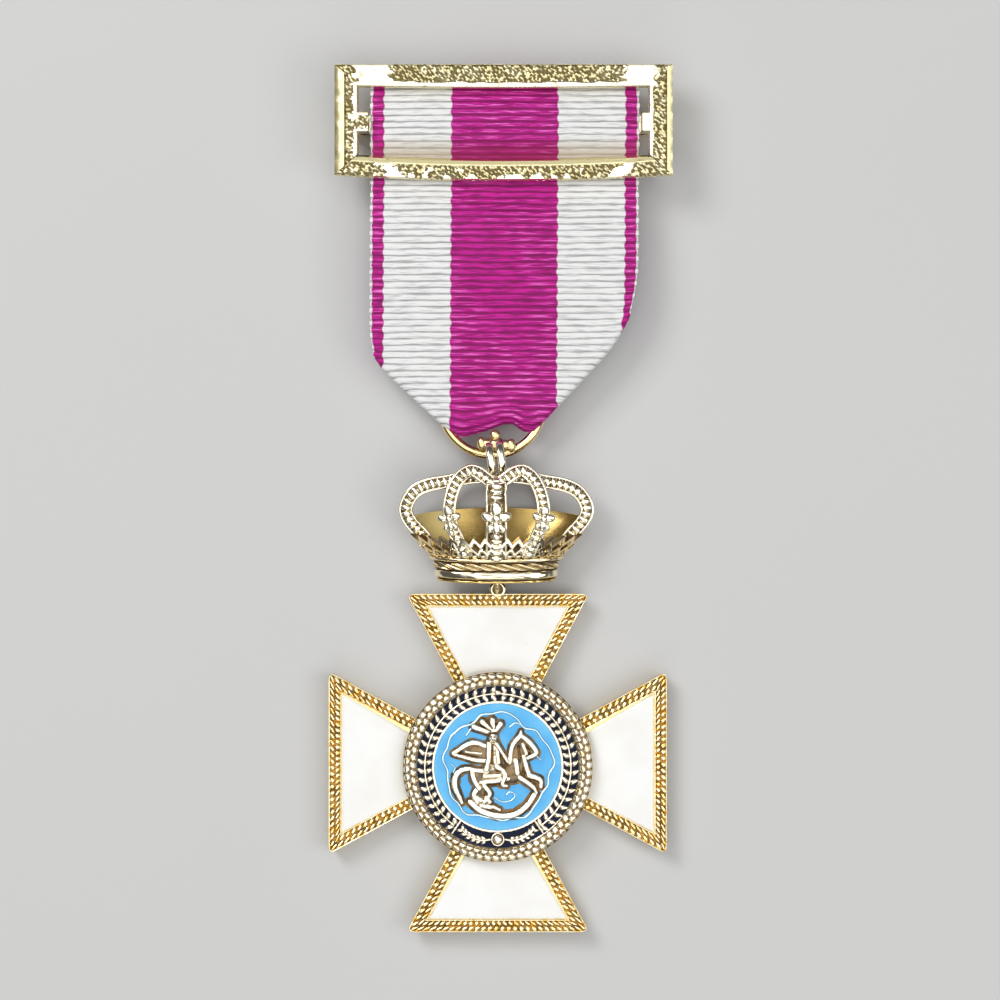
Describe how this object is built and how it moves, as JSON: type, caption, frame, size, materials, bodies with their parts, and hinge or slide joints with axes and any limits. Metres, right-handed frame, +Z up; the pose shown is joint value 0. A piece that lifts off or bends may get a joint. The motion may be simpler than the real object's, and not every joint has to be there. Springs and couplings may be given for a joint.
{
  "type": "order cross on a ribbon with a brooch bar",
  "caption": "Gilt and enamel order cross under a crown, hung from a striped ribbon folded to a ring and looped over a brooch bar, lying face up.",
  "frame": {"origin": "on the surface that the object lies on, under the middle of its bounding box", "axes": "+Z up, out of the face; +Y along the length, from the cross towards the brooch bar; +X to the wearer's left, the right of the picture"},
  "size_m": [0.0384, 0.097, 0.0094],
  "materials": {
    "gilt_bar": "stippled with polished edges",
    "gilt_plain": "polished",
    "gilt_chased": "chased and polished",
    "ribbon": "ribbed silk",
    "white_enamel": "glossy enamel",
    "dark_enamel": "glossy enamel",
    "sky_enamel": "glossy enamel"
  },
  "bodies": {
    "root": {"bar_frame": "gilt_bar", "brooch_pin": "gilt_plain", "ribbon": "ribbon", "suspension_ring": "gilt_plain", "crown": "gilt_chased", "link_ring": "gilt_plain", "cross_body": "gilt_chased", "enamel_top": "white_enamel", "enamel_right": "white_enamel", "enamel_bottom": "white_enamel", "enamel_left": "white_enamel", "medallion": "gilt_chased", "band_enamel": "dark_enamel", "sky_enamel": "sky_enamel", "rider_relief": "gilt_chased", "band_leaves": "gilt_chased"}
  },
  "joints": []
}
